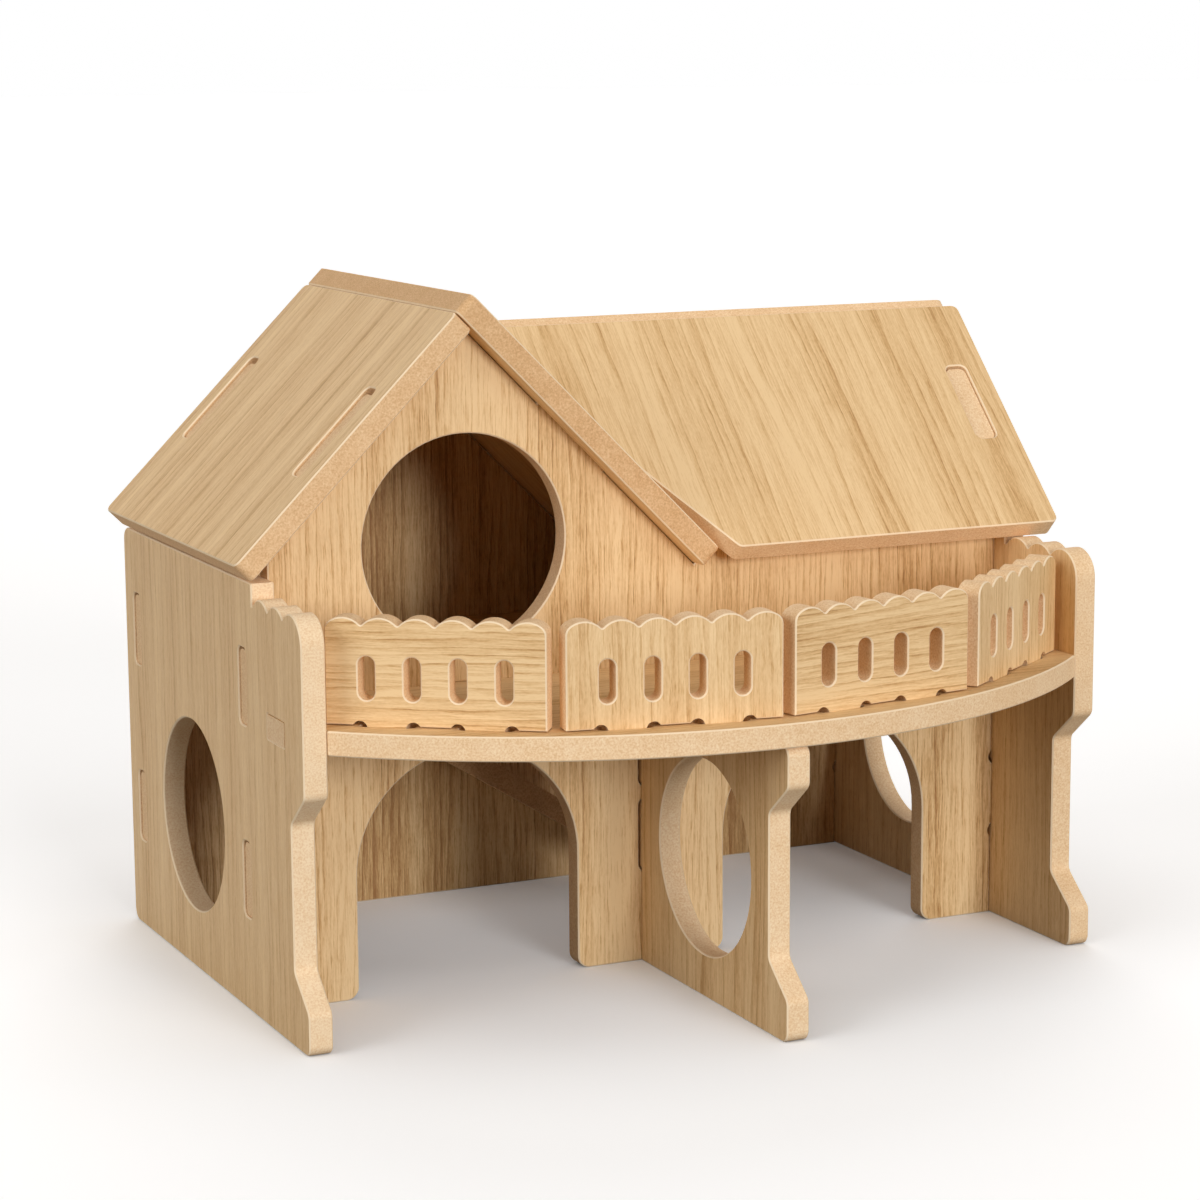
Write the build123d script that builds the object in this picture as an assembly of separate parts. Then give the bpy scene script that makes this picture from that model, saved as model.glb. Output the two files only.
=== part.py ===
from build123d import *

import os
from math import atan2, cos, radians, sin, sqrt

# Two-storey wooden hamster house with a curved balcony. Every piece is cut from one board and
# slotted to the others. While it is modelled, X = 0 is the outer face of the left side panel,
# Y = 0 the front face of the front wall and Z = 0 the ground. The last step moves the origin
# to the centre of the house on the ground.

# Board and joints
board_thickness = 9.0
arris = 0.5                  # small bevel along every cut edge of a board
cutter_radius = 2.8          # inside corners of slots, reliefs beside tenons
relief_offset = 1.2          # centre of a relief beyond the shoulder of its tenon
wall_relief_spread = 1.5     # centre of a relief beside its tenon, on the walls
slot_clearance = 0.15        # between a tenon and its slot, all round
slot_end_gap = 0.8           # extra length of a slot at its upper end
gable_slot_end_gap = 2.4     # the same in a gable roof board
square_slot_radius = 0.6     # corners of the floor's slots in the side panels
tenon_recess = 1.0           # end of a tenon below the face that it comes through
seam = 0.2                   # between a board and the one beside it, where nothing presses
lid_clearance = 0.25         # between a roof board that lifts off and what it lies on
tenon_root = 3.0             # depth to which a tenon is merged with its board

# Plan
house_width = 328.0          # over both side panels
house_depth = 139.0          # over front wall and back wall
balcony_side_depth = 59.5    # from the front wall to the balcony's front at the side panels
balcony_bow = 62.1           # how far the balcony's front arc stands out beyond its ends
side_rear_overhang = 10.5    # side panels behind the back wall

# Heights
storey_height = 109.0        # ground to the underside of both floors
wall_height = 169.3          # front and back wall beside the gable
rail_height = 158.5          # top of the bumps on the side panels

# Side panels and wing: waisted front edge
foot_height = 15.7
waist_bottom = 27.9
shoulder_drop = 15.0         # shoulder below the underside of the floors
shoulder_slant = 11.8        # height of the slanted part below the shoulder
waist_depth = 14.4
profile_radius = 4.0
rear_corner_radius = 5.0

# Scalloped rail of the side panels
rail_bump_radius = 10.9
rail_bump_pitch = 16.0
rail_bump_count = 3
rail_step = 1.0              # flat between the last bump and the wall part
left_wall_gap = 1.2          # between the left panel's wall part and the gable roof above it

# Round holes
side_hole_radius = 37.7
side_hole_y = 68.0
side_hole_drop = 47.7        # centre below the underside of the floors
wing_hole_radius = 37.6
wing_hole_y = -54.0
wing_hole_drop = 54.9        # centre below the underside of the floors

# Front wall
arch_radius = 45.4
arch_center_height = 47.0
arch_offset = 77.0           # arch centres to each side of the middle
leg_corner_radius = 5.0
window_radius = 41.1
window_sill = 11.8           # lowest point of the window above the upper floor

# Tenons of walls, floors and roofs
wall_tenon_length = 28.0
lower_tenon_bottom = 36.0
wing_tenon_spacing = 6.0     # between the two tenons of the wing
wing_slot_gap = 0.9          # looser fit beside the tenons of the wing
floor_tenon_length = 18.0
floor_tenon_y = -31.1
balcony_tab_offset = 77.0    # from the middle
upper_tab_inset = 9.0        # between a tab of the upper floor and the side panel
gable_tenon_length = 40.5
gable_tenon_position = 71.0  # down the slope from the gable's outer peak
long_tenon_length = 37.0
long_tenon_position = 52.0   # down the slope from the ridge

# Gable roof, both slopes at 45 degrees
gable_axis_x = 87.0
gable_peak_height = 251.7    # underside of the boards at the peak
gable_left_reach = 94.0      # axis to the outer edge of the left eaves
gable_right_reach = 102.0    # axis to the outer edge of the right eaves
gable_overhang = 11.0        # in front of the front wall and behind the back wall
roof_corner_radius = 3.0

# Long roof, both slopes at 45 degrees
long_slope_length = 114.5    # ridge to eaves
long_end_overhang = 10.0     # beyond the right side panel
long_roof_lap = 2.2          # back board beyond the ridge, over the end of the front board

# Balcony fences
wing_setback = 1.6           # wing's front edge behind the balcony's front
middle_fence_angle = 9.0
outer_fence_angle = 36.5
middle_fence_inset = 11.3    # fence front behind the balcony's front, at mid length
outer_fence_inset = 13.3
fence_middle_gap = 4.8       # between the two middle fences
fence_corner_gap = 6.2
fence_end_gap = 3.1          # to the side panels
fence_floor_gap = 0.5        # between a fence and the floor, beside its tabs
fence_height = 38.5
fence_bump_count = 6
fence_bump_depth = 3.1
fence_corner_radius = 4.0
fence_slot_count = 4
fence_slot_pitch = 16.6
fence_slot_width = 6.2
fence_slot_height = 15.8
fence_slot_center_height = 16.8
fence_tab_length = 19.5
fence_tab_offset = 17.75     # middle of a tab from the fence's middle
cusp_radius = 0.8            # bottom of the notch between two bumps

# Ramp along the back wall, and the notch in the upper floor above it
ramp_top_x = 49.0
ramp_foot_x = 238.0
ramp_width = 36.0
ramp_wall_gap = 0.5
climb_notch_right = 136.0
climb_notch_margin = 9.0     # in front of the ramp
climb_notch_radius = 6.0

# Derived places
diagonal = sqrt(2)
middle_x = house_width / 2
inner_left = board_thickness
inner_right = house_width - board_thickness
inner_width = inner_right - inner_left
ridge_y = house_depth / 2
back_wall_front = house_depth - board_thickness
floor_top = storey_height + board_thickness
upper_tab_offset = inner_width / 2 - upper_tab_inset - wall_tenon_length / 2
shoulder_height = storey_height - shoulder_drop
waist_top = shoulder_height - shoulder_slant
side_hole_z = storey_height - side_hole_drop
wing_hole_z = storey_height - wing_hole_drop
window_height = floor_top + window_sill + window_radius
wing_tenon_bottoms = (
    lower_tenon_bottom,
    lower_tenon_bottom + wall_tenon_length + wing_tenon_spacing,
)
ramp_back_y = back_wall_front - ramp_wall_gap
ramp_front_y = ramp_back_y - ramp_width
ridge_height = wall_height + ridge_y
panel_back = house_depth + side_rear_overhang
first_bump_y = rail_bump_radius - balcony_side_depth
arc_radius = ((inner_width / 2) ** 2 + balcony_bow ** 2) / (2 * balcony_bow)
balcony_front = -balcony_side_depth - balcony_bow
arc_center_y = balcony_front + arc_radius
wing_x = middle_x - board_thickness / 2
gable_outer_peak = gable_peak_height + board_thickness * diagonal
tenon_round = cutter_radius - slot_clearance
lid_drop = lid_clearance * diagonal
upper_tenon_bottom = storey_height
left_edge = gable_axis_x - gable_left_reach + arris / diagonal
right_edge = house_width + long_end_overhang
back_edge = ridge_y + (long_slope_length + board_thickness - arris) / diagonal
origin_x = (left_edge + right_edge) / 2
origin_y = (balcony_front + back_edge) / 2


def face_x(x):
    """Plane across the house at x: local axes along Y and Z, thickness towards +X."""
    return Plane(origin=(x, 0, 0), x_dir=(0, 1, 0), z_dir=(1, 0, 0))


def face_y(y):
    """Plane along the house, its thickness towards +Y, local axes along X and Z."""
    return Plane(origin=(0, y + board_thickness, 0), x_dir=(1, 0, 0), z_dir=(0, -1, 0))


def rounded_outline(corners):
    """Closed outline from corners given as (u, v, corner radius)."""
    face = make_face(Polyline([(u, v) for u, v, _ in corners], close=True))
    for u, v, radius in corners:
        if radius > 0:
            face = fillet(face.vertices().sort_by_distance((u, v, 0))[0], radius)
    return face


def cut_board(outline):
    """Board of this outline, lying on its plane, with both rims bevelled."""
    blank = extrude(outline, amount=board_thickness)
    broad_faces = blank.faces().filter_by(Axis.Z)
    return chamfer(broad_faces.edges(), arris)


def slot_outline(length, side_gap=slot_clearance, end_gap=slot_end_gap, radius=cutter_radius):
    """Slot for a tenon of this length: its length runs along local Y, its longer end is up."""
    opening = RectangleRounded(
        board_thickness + 2 * side_gap,
        length + 2 * slot_clearance + end_gap,
        radius,
    )
    return Pos(0, end_gap / 2) * opening


def tenon(center, direction, along, length):
    """Tenon that stands out of a board edge, a little short of one board thickness."""
    plane = Plane(origin=center, x_dir=along, z_dir=direction)
    section = RectangleRounded(length, board_thickness, tenon_round)
    peg = extrude(section, amount=tenon_root + board_thickness - tenon_recess)
    return plane.location * Pos(0, 0, -tenon_root) * peg


def tenon_reliefs(center, direction, along, length, spread):
    """Round reliefs in the shoulder at both sides of a tenon."""
    plane = Plane(origin=center, x_dir=along, z_dir=direction)
    round_cut = Cylinder(cutter_radius, 2 * board_thickness, rotation=(90, 0, 0))
    places = [Pos(side * (length / 2 + spread), 0, relief_offset) for side in (-1, 1)]
    return [plane.location * place * round_cut for place in places]


def add_tenons(board, tenons, spread):
    """Board with its tenons and the reliefs beside them."""
    for center, direction, along, length in tenons:
        board = board + tenon(center, direction, along, length)
        for relief in tenon_reliefs(center, direction, along, length, spread):
            board = board - relief
    return board


def arc_front_y(x):
    """Y of the balcony's front edge at this x."""
    return arc_center_y - sqrt(arc_radius ** 2 - (x - middle_x) ** 2)


def waisted_edge(front_y, top_z):
    """Front edge from the ground up to top_z, as outline corners."""
    waist = front_y + waist_depth
    return [
        (front_y, 0, profile_radius),
        (front_y, foot_height, profile_radius),
        (waist, waist_bottom, profile_radius),
        (waist, waist_top, profile_radius),
        (front_y, shoulder_height, profile_radius),
        (front_y, top_z, 0),
    ]


def rail_end_y():
    """Y at which the scalloped rail of a side panel ends and its wall part begins."""
    return first_bump_y + (rail_bump_count - 0.5) * rail_bump_pitch + rail_step


def side_panel_outline(wall_front_top, wall_corners):
    """Side panel outline: scalloped rail in front, wall part of the given top behind."""
    cusp_drop = rail_bump_radius - sqrt(rail_bump_radius ** 2 - (rail_bump_pitch / 2) ** 2)
    cusp_height = rail_height - cusp_drop
    bump_height = rail_height - rail_bump_radius
    corners = [(panel_back, 0, rear_corner_radius)]
    corners += waisted_edge(-balcony_side_depth, bump_height)
    corners += [(first_bump_y, bump_height, 0), (first_bump_y, cusp_height, 0)]
    corners += [(rail_end_y(), cusp_height, 0), (rail_end_y(), wall_front_top, 0)]
    corners += wall_corners
    face = rounded_outline(corners)
    for index in range(rail_bump_count):
        bump_y = first_bump_y + index * rail_bump_pitch
        face = face + Pos(bump_y, bump_height) * Circle(rail_bump_radius)
    cusps = [first_bump_y + (index + 0.5) * rail_bump_pitch for index in range(rail_bump_count)]
    for cusp_y in cusps[:-1]:
        cusp = face.vertices().sort_by_distance((cusp_y, cusp_height, 0))[0]
        face = fillet(cusp, cusp_radius)
    return face


def side_panel_cuts():
    """Openings that both side panels share: round hole, wall slots, balcony floor slot."""
    cuts = [Pos(side_hole_y, side_hole_z) * Circle(side_hole_radius)]
    for wall_y in (board_thickness / 2, house_depth - board_thickness / 2):
        for bottom in (lower_tenon_bottom, upper_tenon_bottom):
            slot = slot_outline(wall_tenon_length)
            cuts.append(Pos(wall_y, bottom + wall_tenon_length / 2) * slot)
    floor_slot = slot_outline(floor_tenon_length, end_gap=0, radius=square_slot_radius)
    floor_slot = Rot(0, 0, 90) * floor_slot
    cuts.append(Pos(floor_tenon_y, storey_height + board_thickness / 2) * floor_slot)
    return cuts


def left_side_panel():
    """Left wall: level top behind the gable roof's eaves, which the two walls carry."""
    wall_top = gable_peak_height - gable_axis_x - lid_drop - left_wall_gap
    outline = side_panel_outline(wall_top, [(panel_back, wall_top, rear_corner_radius)])
    for cut in side_panel_cuts():
        outline = outline - cut
    return face_x(0).location * cut_board(outline)


def long_roof_under(y):
    """Height of the long roof's underside at this y, less the lid clearance."""
    return ridge_height - abs(y - ridge_y) - lid_drop


def right_side_panel():
    """Right wall: gable top under the long roof, with a tenon through each slope."""
    top = [
        (ridge_y, long_roof_under(ridge_y), 0),
        (panel_back, long_roof_under(panel_back), 0),
    ]
    outline = side_panel_outline(long_roof_under(rail_end_y()), top)
    for cut in side_panel_cuts():
        outline = outline - cut
    panel = face_x(inner_right).location * cut_board(outline)
    for side in (-1, 1):
        y = ridge_y + side * (long_tenon_position - lid_clearance) / diagonal
        center = (house_width - board_thickness / 2, y, long_roof_under(y))
        panel = panel + tenon(center, (0, side, 1), (0, 1, -side), long_tenon_length)
    return panel


def gable_under(x):
    """Height of the gable roof's underside at this x, less the lid clearance."""
    return gable_peak_height - abs(x - gable_axis_x) - lid_drop


def wall_outline():
    """Outline of front wall and back wall: gable, dip for the gable eaves, level part."""
    eaves_inner = gable_axis_x + gable_right_reach - board_thickness / diagonal + seam
    dip = gable_under(eaves_inner)
    top = wall_height - lid_drop
    return rounded_outline([
        (inner_left + seam, 0, 0),
        (inner_right - seam, 0, 0),
        (inner_right - seam, top, 0),
        (eaves_inner + top - dip, top, 0),
        (eaves_inner, dip, 0),
        (gable_axis_x, gable_under(gable_axis_x), 0),
        (inner_left + seam, gable_under(inner_left + seam), 0),
    ])


def wall_tenons(wall_y):
    """Tenons of a wall into both side panels."""
    tenons = []
    for side, x in ((-1, inner_left), (1, inner_right)):
        for bottom in (lower_tenon_bottom, upper_tenon_bottom):
            center = (x, wall_y, bottom + wall_tenon_length / 2)
            tenons.append((center, (side, 0, 0), (0, 0, 1), wall_tenon_length))
    return tenons


def gable_tenons(wall_y):
    """Tenons that stand square to the gable slopes."""
    tenons = []
    for side in (-1, 1):
        run = gable_tenon_position - board_thickness - lid_clearance
        x = gable_axis_x + side * run / diagonal
        center = (x, wall_y, gable_under(x))
        tenons.append(tenon(center, (side, 0, 1), (1, 0, -side), gable_tenon_length))
    return tenons


def wing_slots():
    """Slots in the middle leg of the front wall for the two tenons of the wing."""
    slots = []
    for bottom in wing_tenon_bottoms:
        slot = slot_outline(wall_tenon_length, side_gap=wing_slot_gap)
        slots.append(Pos(middle_x, bottom + wall_tenon_length / 2) * slot)
    return slots


def floor_tab_slots(offset):
    """Level slots for the tabs of a floor, at both sides of the middle."""
    slot = Rot(0, 0, 90) * slot_outline(wall_tenon_length, end_gap=0)
    height = storey_height + board_thickness / 2
    return [Pos(middle_x + side * offset, height) * slot for side in (-1, 1)]


def front_wall():
    """Front wall with two arches, a round window and slots for the floors and the wing."""
    outline = wall_outline()
    for side in (-1, 1):
        arch_x = middle_x + side * arch_offset
        outline = outline - Pos(arch_x, arch_center_height) * Circle(arch_radius)
        doorway = Rectangle(2 * arch_radius, arch_center_height, align=(Align.CENTER, Align.MIN))
        outline = outline - Pos(arch_x, 0) * doorway
        for edge in (-1, 1):
            foot = outline.vertices().sort_by_distance((arch_x + edge * arch_radius, 0, 0))[0]
            outline = fillet(foot, leg_corner_radius)
    outline = outline - Pos(gable_axis_x, window_height) * Circle(window_radius)
    tab_slots = floor_tab_slots(balcony_tab_offset) + floor_tab_slots(upper_tab_offset)
    for slot in wing_slots() + tab_slots:
        outline = outline - slot
    wall = face_y(0).location * cut_board(outline)
    wall = add_tenons(wall, wall_tenons(board_thickness / 2), wall_relief_spread)
    for peg in gable_tenons(board_thickness / 2):
        wall = wall + peg
    return wall


def back_wall():
    """Closed back wall with slots for the upper floor."""
    outline = wall_outline()
    for slot in floor_tab_slots(upper_tab_offset):
        outline = outline - slot
    wall_y = house_depth - board_thickness / 2
    wall = face_y(back_wall_front).location * cut_board(outline)
    wall = add_tenons(wall, wall_tenons(wall_y), wall_relief_spread)
    for peg in gable_tenons(wall_y):
        wall = wall + peg
    return wall


def front_wing_panel():
    """Board in front of the middle leg, which carries the balcony, with a round hole."""
    front_y = balcony_front + wing_setback
    corners = [(-seam, 0, 0)] + waisted_edge(front_y, storey_height)
    corners[-1] = (front_y, storey_height, profile_radius)
    outline = rounded_outline(corners + [(-seam, storey_height, 0)])
    outline = outline - Pos(wing_hole_y, wing_hole_z) * Circle(wing_hole_radius)
    wing = face_x(wing_x).location * cut_board(outline)
    for bottom in wing_tenon_bottoms:
        center = (middle_x, 0, bottom + wall_tenon_length / 2)
        wing = wing + tenon(center, (0, 1, 0), (0, 0, 1), wall_tenon_length)
    return wing


def fence_length():
    """Length of one fence, so that four of them fill the balcony's front."""
    free = inner_width / 2 - fence_middle_gap / 2 - fence_corner_gap - fence_end_gap
    return free / (cos(radians(middle_fence_angle)) + cos(radians(outer_fence_angle)))


def fence_places():
    """Place of each fence from left to right: (x, y, angle) of its front face, mid length."""
    middle_run = fence_length() * cos(radians(middle_fence_angle))
    outer_run = fence_length() * cos(radians(outer_fence_angle))
    middle_shift = fence_middle_gap / 2 + middle_run / 2
    outer_shift = fence_middle_gap / 2 + middle_run + fence_corner_gap + outer_run / 2
    places = []
    for side, shift, angle, inset in (
        (-1, outer_shift, outer_fence_angle, outer_fence_inset),
        (-1, middle_shift, middle_fence_angle, middle_fence_inset),
        (1, middle_shift, middle_fence_angle, middle_fence_inset),
        (1, outer_shift, outer_fence_angle, outer_fence_inset),
    ):
        x = middle_x + side * shift
        places.append((x, arc_front_y(x) + inset, side * angle))
    return places


def balcony_floor():
    """Balcony floor: bowed front, tenons to the sides and tabs into the front wall."""
    front_left = (inner_left + seam, arc_front_y(inner_left + seam))
    front_right = (inner_right - seam, arc_front_y(inner_right - seam))
    border = [
        ThreePointArc(front_left, (middle_x, balcony_front), front_right),
        Polyline(front_right, (inner_right - seam, 0), (inner_left + seam, 0), front_left),
    ]
    outline = make_face(border)
    for x, y, angle in fence_places():
        for side in (-1, 1):
            slot = Rot(0, 0, 90) * slot_outline(fence_tab_length, end_gap=0)
            place = Pos(x, y) * Rot(0, 0, angle)
            place = place * Pos(side * fence_tab_offset, board_thickness / 2)
            outline = outline - place * slot
    level = storey_height + board_thickness / 2
    floor = Pos(0, 0, storey_height) * cut_board(outline)
    for side, x in ((-1, inner_left + seam), (1, inner_right - seam)):
        center = (x, floor_tenon_y, level)
        floor = floor + side_tab(center, side, floor_tenon_length)
    for side in (-1, 1):
        center = (middle_x + side * balcony_tab_offset, 0, level)
        floor = floor + tenon(center, (0, 1, 0), (1, 0, 0), wall_tenon_length)
    return floor


def side_tab(center, side, length):
    """Tab of a floor through a side panel, flush with the panel's outer face."""
    plane = Plane(origin=center, x_dir=(0, 1, 0), z_dir=(side, 0, 0))
    section = RectangleRounded(length, board_thickness, square_slot_radius - slot_clearance)
    peg = extrude(section, amount=board_thickness + seam + tenon_root)
    return plane.location * Pos(0, 0, -tenon_root) * peg


def upper_floor():
    """Inside floor, notched along the back wall above the ramp, tabs into both walls."""
    left = inner_left + seam
    right = inner_right - seam
    notch_front = ramp_front_y - climb_notch_margin
    outline = rounded_outline([
        (left, board_thickness, 0),
        (right, board_thickness, 0),
        (right, back_wall_front, 0),
        (climb_notch_right, back_wall_front, 0),
        (climb_notch_right, notch_front, climb_notch_radius),
        (ramp_top_x, notch_front, climb_notch_radius),
        (ramp_top_x, back_wall_front, 0),
        (left, back_wall_front, 0),
    ])
    floor = Pos(0, 0, storey_height) * cut_board(outline)
    level = storey_height + board_thickness / 2
    for offset in (-upper_tab_offset, upper_tab_offset):
        front = (middle_x + offset, board_thickness, level)
        back = (middle_x + offset, back_wall_front, level)
        floor = floor + tenon(front, (0, -1, 0), (1, 0, 0), wall_tenon_length)
        floor = floor + tenon(back, (0, 1, 0), (1, 0, 0), wall_tenon_length)
    return floor


def fence():
    """One fence, standing on z = 0, front face on y = 0, centred on x = 0."""
    length = fence_length()
    pitch = length / fence_bump_count
    bump_radius = ((pitch / 2) ** 2 + fence_bump_depth ** 2) / (2 * fence_bump_depth)
    cusp_height = fence_height - fence_bump_depth
    outline = Rectangle(length, cusp_height, align=(Align.CENTER, Align.MIN))
    bound = Rectangle(length, fence_height, align=(Align.CENTER, Align.MIN))
    for index in range(fence_bump_count):
        bump_x = (index + 0.5) * pitch - length / 2
        outline = outline + Pos(bump_x, fence_height - bump_radius) * Circle(bump_radius) & bound
    for index in range(1, fence_bump_count):
        place = (index * pitch - length / 2, cusp_height, 0)
        outline = fillet(outline.vertices().sort_by_distance(place)[0], cusp_radius)
    for side in (-1, 1):
        top_corner = outline.vertices().sort_by_distance((side * length / 2, cusp_height, 0))[0]
        outline = fillet(top_corner, fence_corner_radius)
    for index in range(fence_slot_count):
        slot_x = (index - (fence_slot_count - 1) / 2) * fence_slot_pitch
        slot = SlotOverall(fence_slot_height, fence_slot_width, rotation=90)
        outline = outline - Pos(slot_x, fence_slot_center_height) * slot
    panel = face_y(0).location * cut_board(outline)
    tenons = []
    for side in (-1, 1):
        center = (side * fence_tab_offset, board_thickness / 2, 0)
        tenons.append((center, (0, 0, -1), (1, 0, 0), fence_tab_length))
    return add_tenons(panel, tenons, 0)


def gable_board(side, upper_end, reach):
    """Gable roof board on one side, from upper_end down to the eaves, with two slots."""
    lower_end = reach * diagonal
    along = (0, side, 0)
    outward = (side, 0, 1)
    peak = (gable_axis_x, ridge_y, gable_outer_peak)
    plane = Plane(origin=peak, x_dir=along, z_dir=outward)
    half_length = house_depth / 2 + gable_overhang
    outline = rounded_outline([
        (-half_length, -upper_end, roof_corner_radius),
        (half_length, -upper_end, roof_corner_radius),
        (half_length, -lower_end, roof_corner_radius),
        (-half_length, -lower_end, roof_corner_radius),
    ])
    for row in (-1, 1):
        place = Pos(row * (house_depth - board_thickness) / 2, -gable_tenon_position)
        slot = slot_outline(gable_tenon_length, lid_clearance, gable_slot_end_gap)
        outline = outline - place * slot
    return plane.location * Pos(0, 0, -board_thickness) * cut_board(outline)


def gable_roof_left():
    """Left gable board: butts the underside of the right one at the peak."""
    return gable_board(-1, board_thickness + lid_clearance, gable_left_reach)


def gable_roof_right():
    """Right gable board: runs over the end of the left one."""
    return gable_board(1, 0, gable_right_reach)


def long_roof_board(side, upper_end):
    """Long roof board from upper_end down, side -1 in front and 1 at the back.

    Its edge along the valley is slanted.
    """
    plane = Plane(origin=(0, ridge_y, ridge_height), x_dir=(-side, 0, 0), z_dir=(0, side, 1))
    valley_x = gable_axis_x + gable_outer_peak - ridge_height + lid_drop
    outline = rounded_outline([
        (-side * (valley_x + upper_end / diagonal), -upper_end, roof_corner_radius),
        (-side * right_edge, -upper_end, roof_corner_radius),
        (-side * right_edge, -long_slope_length, roof_corner_radius),
        (-side * (valley_x + long_slope_length / diagonal), -long_slope_length,
         roof_corner_radius),
    ])
    place = Pos(-side * (house_width - board_thickness / 2), -long_tenon_position)
    slot = slot_outline(long_tenon_length, lid_clearance)
    outline = outline - place * slot
    return plane.location * cut_board(outline)


def climbing_ramp():
    """Sloping board along the back wall, from the notch in the upper floor to the ground."""
    slope = atan2(floor_top, ramp_foot_x - ramp_top_x)
    drop = board_thickness / cos(slope)
    foot_run = board_thickness / sin(slope)
    side_outline = Polyline(
        (ramp_top_x, floor_top),
        (ramp_top_x, floor_top - drop),
        (ramp_foot_x - foot_run, 0),
        (ramp_foot_x, 0),
        close=True,
    )
    face = Plane(origin=(0, ramp_back_y, 0), x_dir=(1, 0, 0), z_dir=(0, -1, 0))
    return extrude(face.location * make_face(side_outline), amount=ramp_width, dir=(0, -1, 0))


def house_pieces():
    """Every piece by its name, in the building frame."""
    pieces = {
        "left_side_panel": left_side_panel(),
        "right_side_panel": right_side_panel(),
        "front_wall": front_wall(),
        "back_wall": back_wall(),
        "front_wing_panel": front_wing_panel(),
        "balcony_floor": balcony_floor(),
        "upper_floor": upper_floor(),
        "climbing_ramp": climbing_ramp(),
        "gable_roof_left": gable_roof_left(),
        "gable_roof_right": gable_roof_right(),
        "long_roof_front": long_roof_board(-1, lid_clearance),
        "long_roof_back": long_roof_board(1, -long_roof_lap),
    }
    for letter, (x, y, angle) in zip("abcd", fence_places()):
        place = Pos(x, y, floor_top + fence_floor_gap) * Rot(0, 0, angle)
        pieces["balcony_fence_" + letter] = place * fence()
    return pieces


os.makedirs("parts", exist_ok=True)
for name, shape in house_pieces().items():
    export_step(Pos(-origin_x, -origin_y, 0) * shape, "parts/" + name + ".step")
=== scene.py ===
from math import cos, pi, radians, sin

import bpy
from mathutils import Matrix, Vector


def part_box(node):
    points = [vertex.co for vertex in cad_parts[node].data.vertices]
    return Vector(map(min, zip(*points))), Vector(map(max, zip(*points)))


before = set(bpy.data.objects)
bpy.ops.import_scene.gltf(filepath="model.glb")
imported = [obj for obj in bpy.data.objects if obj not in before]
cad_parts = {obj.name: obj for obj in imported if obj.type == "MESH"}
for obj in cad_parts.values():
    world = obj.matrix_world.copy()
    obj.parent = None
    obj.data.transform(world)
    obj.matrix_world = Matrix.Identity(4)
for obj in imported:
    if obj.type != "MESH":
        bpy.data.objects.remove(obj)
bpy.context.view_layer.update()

# A two-storey hamster house cut from one board: MDF with an oak decor laminated on both
# faces, its edges left raw and its rims lightly bevelled. Lengths in the materials are in
# millimetres, everything else in metres.

MM_PER_METRE = 1000
DIAGONAL = Vector((1, 0, 1)).length
CROSS_GABLE = Vector((1, 0, 1)) / DIAGONAL
ALONG_HOUSE = Vector((1, 0, 0))
ACROSS_HOUSE = Vector((0, 1, 0))
UP = Vector((0, 0, 1))


def linear(hex_colour):
    """Linear RGBA of an sRGB hex colour."""
    channels = [int(hex_colour[i:i + 2], 16) / 255 for i in (1, 3, 5)]
    curve = [c / 12.92 if c <= 0.04045 else ((c + 0.055) / 1.055) ** 2.4 for c in channels]
    return (*curve, 1.0)


def add(tree, kind, inputs, stops=(), **settings):
    """Adds one node with its settings, its links and, where it has them, its colour stops.

    Inputs are given by name, or by their place among those that the settings leave in use.
    Each takes a value, a socket to link from, or a node, which means its first output. Stops
    are (position, hex colour).
    """
    node = tree.nodes.new(kind)
    for name, value in settings.items():
        setattr(node, name, value)
    for place, (position, colour) in enumerate(stops):
        elements = node.color_ramp.elements
        element = elements[place] if place < 2 else elements.new(1.0)
        element.position = position
        element.color = linear(colour)
    in_use = [socket for socket in node.inputs if socket.enabled]
    for key, value in inputs.items():
        socket = in_use[key] if isinstance(key, int) else node.inputs[key]
        if isinstance(value, bpy.types.Node):
            value = next(output for output in value.outputs if output.enabled)
        if isinstance(value, bpy.types.NodeSocket):
            tree.links.new(value, socket)
        else:
            socket.default_value = value
    return node


# Oak decor on MDF, laminated, saw cut and lightly sanded. The decor shows oak grain: broad
# tone bands, growth lines that swing a little to the side, fine streaks and short dark pores.
# It has the low even sheen of a printed laminate. The raw MDF edge is matt, a felt of fine
# fibres, and the bevelled rim between them shows as a thin cream line.
# Sizes of a pattern are (across the grain, along it), in millimetres.
TONE_BAND = (11.0, 420.0)
GROWTH_FADE = (6.0, 60.0)        # growth lines show and fade over this distance
PORE = (0.5, 7.0)                # real pores are 0.2 to 0.3 wide, drawn wider so that they show
STREAK = (0.6, 14.0)             # finer on real oak, drawn as coarse as it can show
FLECK = (0.45, 1.8)              # the same
GROWTH_SWING = (14.0, 160.0)     # how far apart the growth lines swing to one side and back
GROWTH_SHIFT = 7.0               # how far they swing
SWAY = (34.0, 130.0, 3.0)        # whole grain: across, along, how far to the side
RIPPLE = (4.0, 9.0, 0.7)
FIBRE_BUNDLE = 0.7               # MDF fibres are 0.05 thick, drawn as the bundles that show
EDGE_CLOUD = 9.0                 # patches where the felt of fibres is denser
PORE_DEPTH = 0.03
FIBRE_DEPTH = 0.03
WAVE_PERIOD = pi / 10            # length of one wave of the wave pattern at scale 1
PORE_RANGE = (0.56, 0.7)         # noise from which a pore starts, and where it is full
SHOWN_RANGE = (0.36, 0.64)       # noise over which growth lines go from weak to full
WEAK_LINES = 0.2                 # what is left of a growth line where it fades

# How far apart boards, and patterns on a board, lie in the noise, so that none repeats
SWAY_STEP = 2.3
SWING_STEP = 5.3
BOARD_STEP = 7.1
PATTERN_STEP = 1.9

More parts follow.
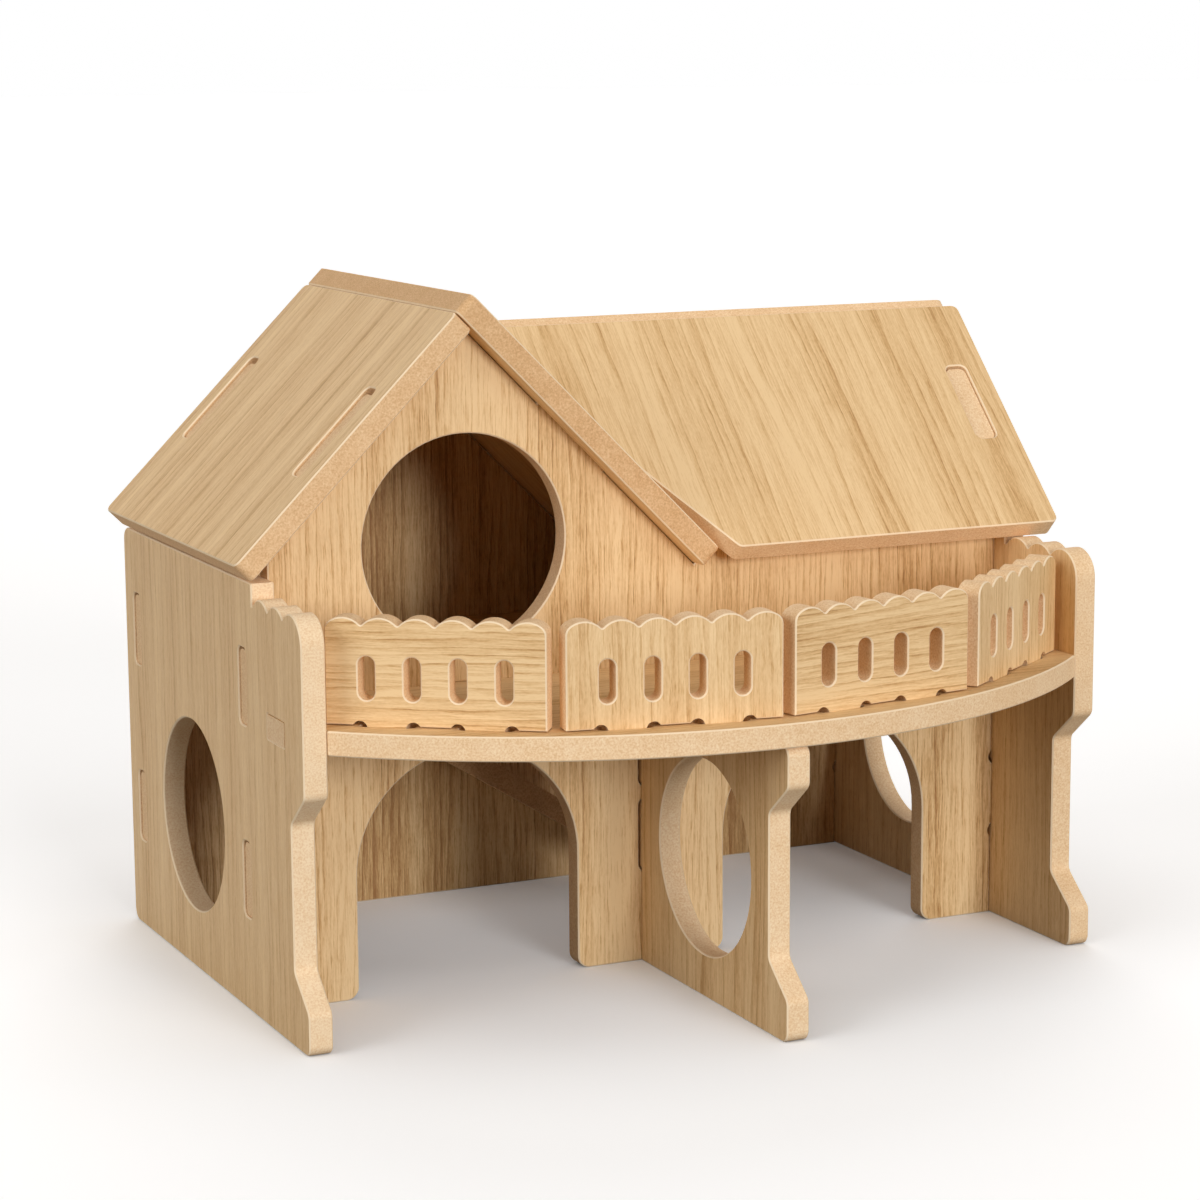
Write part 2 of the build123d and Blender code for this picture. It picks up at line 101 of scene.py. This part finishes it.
# Tones run from the darkest line to the palest wood, as positions on these colours. A share
# says how far a pattern shifts the tone.
FACE_STOPS = ((0.0, "#A0703C"), (0.3, "#C79C64"), (0.5, "#DFB984"), (0.8, "#F2D19F"))
EDGE_STOPS = ((0.0, "#BF915E"), (0.25, "#DAB07F"), (0.5, "#EFCB9E"), (0.75, "#FFE6C2"))
RIM_COLOUR = "#FDE8C8"
FACE_TONE = 0.56
EDGE_TONE = 0.5
BAND_SHARE = 0.9
LINE_SHARE = 0.35
LINE_MEAN = 0.29                 # what the growth lines come to, averaged over a board
NOISE_MEAN = 0.5
STREAK_SHARE = 0.6
FLECK_SHARE = 0.3
FIBRE_SHARE = 0.7
CLOUD_SHARE = 0.2
LINE_SHARPNESS = 2.5             # a growth line darkens slowly, then ends at once
RIM_WEAR = 0.3                   # how much of the face's colour is left on the rims

# Roughness of the laminate, with what a pore adds, and of raw MDF, with what a fibre adds
FACE_ROUGHNESS = (0.55, 0.12)
EDGE_ROUGHNESS = (0.72, 0.16)
BOARD_IOR = 1.5

# A surface counts as face or raw edge by its angle to the board's faces, given as a cosine
# where that starts and where it is full. The rim lies between the two.
FACE_FROM = (0.86, 0.96)
EDGE_FROM = (0.45, 0.25)


def oak_laminated_mdf(
    name, face, grain, seed, growth_line, figure, pore_share, face_shift_and_painted_shade, edge_shift_and_painted_shade,
):
    """Board material: face is square to its broad faces, grain runs along them.

    Growth lines are growth_line apart; figure says how strong they and the bands show, and
    pore_share how strong the pores show. The shifts make the faces and raw edges lighter, or
    darker where they are negative; on the inner boards and on one rake that darkening is
    painted shade.
    """
    material = bpy.data.materials.new("oak_laminated_mdf_" + name)
    material.use_nodes = True
    tree = material.node_tree
    tree.nodes.clear()
    place = add(tree, "ShaderNodeTexCoord", {})
    across_mm, grain_mm = [
        add(tree, "ShaderNodeVectorMath",
            {0: place.outputs["Object"], 1: MM_PER_METRE * direction},
            operation="DOT_PRODUCT")
        for direction in (grain.cross(face), grain)
    ]

    # Each pattern is a slice of its own through the noise, at its own depth for each board
    leaning = across_mm
    straight = add(tree, "ShaderNodeCombineXYZ", {0: across_mm, 1: grain_mm})
    for width, length, shift in (SWAY, RIPPLE):
        squeezed = add(tree, "ShaderNodeMapping",
                       {"Vector": straight, "Scale": (1 / width, 1 / length, 1),
                        "Location": (0, 0, SWAY_STEP * seed)})
        lean = add(tree, "ShaderNodeTexNoise",
                   {"Vector": squeezed, "Scale": 1.0, "Detail": 1.0})
        leaning = add(tree, "ShaderNodeMath", {0: lean, 1: shift, 2: leaning},
                      operation="MULTIPLY_ADD")
    on_board = add(tree, "ShaderNodeCombineXYZ", {0: leaning, 1: grain_mm})

    patterns = []
    for (width, length), detail in (
        (TONE_BAND, 2.0), (GROWTH_FADE, 1.0), (PORE, 1.0), (STREAK, 1.0), (FLECK, 1.0),
    ):
        squeezed = add(tree, "ShaderNodeMapping",
                       {"Vector": on_board, "Scale": (1 / width, 1 / length, 1),
                        "Location": (0, 0, BOARD_STEP * seed + PATTERN_STEP * len(patterns))})
        patterns.append(add(tree, "ShaderNodeTexNoise",
                            {"Vector": squeezed, "Scale": 1.0, "Detail": detail}))
    bands, fade, pore_noise, streaks, flecks = patterns
    pore_start, pore_full = PORE_RANGE
    pores = add(tree, "ShaderNodeMapRange", {0: pore_noise, 1: pore_start, 2: pore_full})

    swing_width, swing_length = GROWTH_SWING
    squeezed = add(tree, "ShaderNodeMapping",
                   {"Vector": on_board, "Location": (0, 0, SWING_STEP * seed),
                    "Scale": (1, swing_width / swing_length, 1)})
    wave_scale = WAVE_PERIOD / growth_line
    growth = add(tree, "ShaderNodeTexWave",
                 {"Vector": squeezed, "Scale": wave_scale,
                  "Distortion": 2 * pi * GROWTH_SHIFT / growth_line, "Detail": 1.0,
                  "Detail Scale": 1 / swing_width / wave_scale},
                 bands_direction="X", wave_profile="SAW")
    late_wood = add(tree, "ShaderNodeMath", {0: growth.outputs["Fac"], 1: LINE_SHARPNESS},
                    operation="POWER")
    weak_at, full_at = SHOWN_RANGE
    shown = add(tree, "ShaderNodeMapRange",
                {0: fade, 1: weak_at, 2: full_at, 3: WEAK_LINES, 4: 1.0})
    late_wood = add(tree, "ShaderNodeMath", {0: late_wood, 1: shown}, operation="MULTIPLY")

    shares = (
        (late_wood, -LINE_SHARE * figure, LINE_MEAN),
        (bands, BAND_SHARE * figure, NOISE_MEAN),
        (streaks, STREAK_SHARE * figure, NOISE_MEAN),
        (flecks, FLECK_SHARE, NOISE_MEAN),
        (pores, -pore_share, 0),
    )
    tone = FACE_TONE + face_shift_and_painted_shade - sum(share * mean for _, share, mean in shares)
    for pattern, share, _ in shares:
        tone = add(tree, "ShaderNodeMath", {0: pattern, 1: share, 2: tone},
                   operation="MULTIPLY_ADD")
    face_colour = add(tree, "ShaderNodeValToRGB", {"Fac": tone}, stops=FACE_STOPS)

    fibre, cloud = [
        add(tree, "ShaderNodeTexNoise",
            {"Vector": place.outputs["Object"], "Scale": MM_PER_METRE / size, "Detail": 2.0})
        for size in (FIBRE_BUNDLE, EDGE_CLOUD)
    ]
    tone = EDGE_TONE + edge_shift_and_painted_shade - (FIBRE_SHARE + CLOUD_SHARE) * NOISE_MEAN
    for pattern, share in ((cloud, CLOUD_SHARE), (fibre, FIBRE_SHARE)):
        tone = add(tree, "ShaderNodeMath", {0: pattern, 1: share, 2: tone},
                   operation="MULTIPLY_ADD")
    edge_colour = add(tree, "ShaderNodeValToRGB", {"Fac": tone}, stops=EDGE_STOPS)

    facing = add(tree, "ShaderNodeVectorMath", {0: place.outputs["Normal"], 1: face},
                 operation="DOT_PRODUCT")
    facing = add(tree, "ShaderNodeMath", {0: facing}, operation="ABSOLUTE")
    on_face, on_edge = [
        add(tree, "ShaderNodeMapRange", {0: facing, 1: start, 2: end})
        for start, end in (FACE_FROM, EDGE_FROM)
    ]
    wear = add(tree, "ShaderNodeMath", {0: cloud, 1: RIM_WEAR}, operation="MULTIPLY")
    rim = add(tree, "ShaderNodeMix", {0: wear, 1: linear(RIM_COLOUR), 2: face_colour},
              data_type="RGBA")
    colour = add(tree, "ShaderNodeMix", {0: on_face, 1: rim, 2: face_colour}, data_type="RGBA")
    colour = add(tree, "ShaderNodeMix", {0: on_edge, 1: colour, 2: edge_colour},
                 data_type="RGBA")

    face_roughness, edge_roughness, face_height, edge_height = [
        add(tree, "ShaderNodeMath", {0: pattern, 1: share, 2: least}, operation="MULTIPLY_ADD")
        for pattern, (least, share) in (
            (pores, FACE_ROUGHNESS), (fibre, EDGE_ROUGHNESS),
            (pores, (0.0, -PORE_DEPTH / MM_PER_METRE)),
            (fibre, (0.0, FIBRE_DEPTH / MM_PER_METRE)),
        )
    ]
    roughness = add(tree, "ShaderNodeMix", {0: on_face, 1: edge_roughness, 2: face_roughness})
    height = add(tree, "ShaderNodeMix", {0: on_face, 1: edge_height, 2: face_height})
    relief = add(tree, "ShaderNodeBump", {"Strength": 1.0, "Distance": 1.0, "Height": height})
    shader = add(tree, "ShaderNodeBsdfPrincipled",
                 {"Base Color": colour, "Roughness": roughness, "IOR": BOARD_IOR,
                  "Normal": relief})
    add(tree, "ShaderNodeOutputMaterial", {"Surface": shader})
    return material


def turned(degrees):
    """Direction along the house, turned about the vertical."""
    return Vector((cos(radians(degrees)), sin(radians(degrees)), 0))


ramp_low, ramp_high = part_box("climbing_ramp")
ramp_slope = Vector((ramp_high[0] - ramp_low[0], 0, ramp_low[2] - ramp_high[2])).normalized()

# Each board: what its broad faces look along, which way its grain runs, how far apart its
# growth lines are, how strong its figure and its pores show, how much lighter its faces and
# its edges are than the common tone. Negative shifts darken a board; on the boards inside
# the house and on the right rake's edges they are painted shade.
BOARDS = {
    "left_side_panel": (ALONG_HOUSE, UP, 5.0, 0.7, 0.05, 0.0, 0.15),
    "right_side_panel": (ALONG_HOUSE, UP, 4.0, 0.9, 0.15, 0.0, 0.05),
    "front_wall": (ACROSS_HOUSE, UP, 2.8, 1.3, 0.2, 0.03, 0.0),
    # The back wall's faces are drawn darker: painted shade for the inside of the house.
    "back_wall": (ACROSS_HOUSE, UP, 3.5, 1.2, 0.15, -0.25, 0.0),
    "front_wing_panel": (ALONG_HOUSE, UP, 4.0, 0.9, 0.1, -0.05, 0.1),
    "balcony_floor": (UP, ALONG_HOUSE, 4.0, 0.8, 0.1, 0.0, 0.05),
    # The upper floor is drawn darker: painted shade for the inside of the house.
    "upper_floor": (UP, ALONG_HOUSE, 4.0, 0.8, 0.1, -0.2, 0.0),
    "balcony_fence_a": (turned(53.5), turned(-36.5), 3.0, 1.2, 0.1, -0.03, 0.0),
    "balcony_fence_b": (turned(81), UP, 3.2, 0.8, 0.15, 0.0, 0.0),
    "balcony_fence_c": (turned(99), turned(9), 3.2, 1.2, 0.1, 0.0, 0.0),
    "balcony_fence_d": (turned(126.5), UP, 3.2, 0.8, 0.15, 0.05, 0.0),
    "gable_roof_left": (Vector((-1, 0, 1)) / DIAGONAL, CROSS_GABLE,
                        6.0, 0.9, 0.05, 0.0, -0.1),
    # The right rake's raw edges are drawn darker: painted shade along that edge.
    "gable_roof_right": (CROSS_GABLE, Vector((1, 0, -1)) / DIAGONAL,
                         6.0, 0.8, 0.05, 0.0, -0.22),
    "long_roof_front": (Vector((0, -1, 1)) / DIAGONAL, Vector((0, 1, 1)) / DIAGONAL,
                        4.5, 1.0, 0.08, 0.0, 0.0),
    "long_roof_back": (Vector((0, 1, 1)) / DIAGONAL, Vector((0, -1, 1)) / DIAGONAL,
                       4.5, 1.0, 0.08, 0.0, 0.0),
    # The ramp's faces and raw edges are drawn darker: painted shade for the inside of the
    # house.
    "climbing_ramp": (ramp_slope.cross(ACROSS_HOUSE), ramp_slope,
                      4.0, 0.8, 0.1, -0.2, -0.35),
}

for seed, (name, (face, grain, *look)) in enumerate(BOARDS.items()):
    material = oak_laminated_mdf(name, face, grain, seed, *look)
    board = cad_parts[name]
    for slot in board.material_slots:
        slot.material = material


def seen_directly(tree):
    """Whether a ray comes from the eye, or from gloss or glass that shows the surroundings."""
    path = add(tree, "ShaderNodeLightPath", {})
    seen = path.outputs["Is Camera Ray"]
    for other in ("Is Glossy Ray", "Is Transmission Ray"):
        seen = add(tree, "ShaderNodeMath", {0: seen, 1: path.outputs[other]},
                   operation="MAXIMUM")
    return seen


FLOOR_SIZE = 40
FLOOR_GLOW = 0.45                # brings the open floor up to white
PAINTED_FLOOR_SHADE_REACH = 0.13         # how far round the house the floor's glow fades: painted shade
WORLD_LIGHT = 0.21


def seamless_floor():
    """Pale floor that goes over into the white background and keeps the house's shadow.

    The eye sees white paper with a glow that fades close under the house, painted shade
    there; what it throws back up onto the house is the softer light of a grey one.
    """
    bpy.ops.mesh.primitive_plane_add(size=FLOOR_SIZE)
    floor = bpy.context.object
    floor.name = "studio_floor"
    material = bpy.data.materials.new("matt_studio_paper")
    material.use_nodes = True
    tree = material.node_tree
    tree.nodes.clear()
    grey_paper = add(tree, "ShaderNodeBsdfDiffuse", {"Color": linear("#6C6459")})
    white_paper = add(tree, "ShaderNodeBsdfDiffuse", {"Color": linear("#EEF1F5")})
    # The glow fades where the house is near: painted shade under and beside the house.
    painted_shade_under_house = add(tree, "ShaderNodeAmbientOcclusion",
                      {"Color": linear("#FFFFFF"), "Distance": PAINTED_FLOOR_SHADE_REACH}, samples=16)
    glow = add(tree, "ShaderNodeEmission", {"Color": painted_shade_under_house, "Strength": FLOOR_GLOW})
    lit = add(tree, "ShaderNodeAddShader", {0: white_paper, 1: glow})
    mix = add(tree, "ShaderNodeMixShader", {0: seen_directly(tree), 1: grey_paper, 2: lit})
    add(tree, "ShaderNodeOutputMaterial", {"Surface": mix})
    floor.data.materials.append(material)


def studio_world():
    """Even soft light from all round, white where it is seen."""
    world = bpy.data.worlds.new("studio_world")
    bpy.context.scene.world = world
    world.use_nodes = True
    tree = world.node_tree
    tree.nodes.clear()
    soft = add(tree, "ShaderNodeBackground",
               {"Color": linear("#FFEBD4"), "Strength": WORLD_LIGHT})
    white = add(tree, "ShaderNodeBackground", {"Color": linear("#FFFFFF"), "Strength": 1.0})
    mix = add(tree, "ShaderNodeMixShader", {0: seen_directly(tree), 1: soft, 2: white})
    add(tree, "ShaderNodeOutputWorld", {"Surface": mix})


def soft_light(name, toward, strength, softness):
    """Even light that travels in a direction, as from a large lamp far away."""
    lamp = bpy.data.lights.new(name, "SUN")
    lamp.energy = strength
    lamp.angle = radians(softness)
    holder = bpy.data.objects.new(name, lamp)
    holder.rotation_euler = Vector(toward).to_track_quat("-Z", "Y").to_euler()
    bpy.context.scene.collection.objects.link(holder)


def studio_camera():
    """Camera in front of the house, to its left and a little above it."""
    place = (-0.53518, -1.11354, 0.3561)
    yaw = radians(25.042)
    pitch = radians(9.914)
    roll = radians(-0.383)
    forward = Vector((sin(yaw) * cos(pitch), cos(yaw) * cos(pitch), -sin(pitch)))
    level_right = Vector((cos(yaw), -sin(yaw), 0))
    level_up = level_right.cross(forward)
    right = cos(roll) * level_right + sin(roll) * level_up
    up = cos(roll) * level_up - sin(roll) * level_right
    turn = Matrix((right, up, -forward)).transposed()
    lens = bpy.data.cameras.new("studio_camera")
    lens.sensor_width = 36
    lens.lens = 96.41
    camera = bpy.data.objects.new("studio_camera", lens)
    camera.matrix_world = Matrix.Translation(place) @ turn.to_4x4()
    bpy.context.scene.collection.objects.link(camera)
    bpy.context.scene.camera = camera


seamless_floor()
studio_world()
# Lights: which way the light goes, how strong it is, how soft its shadows are in degrees
soft_light("key_light", (-0.07, 0.96, -0.19), 1.6, 20)
soft_light("upper_light", (-0.2, 0.75, -0.65), 0.48, 30)
soft_light("top_light", (0.1, 0.2, -0.95), 0.08, 50)
soft_light("left_light", (0.92, 0.2, -0.3), 1.17, 40)
soft_light("rear_light", (-0.3, -0.75, -0.6), 0.8, 40)
studio_camera()
bpy.context.scene.view_settings.view_transform = "Standard"
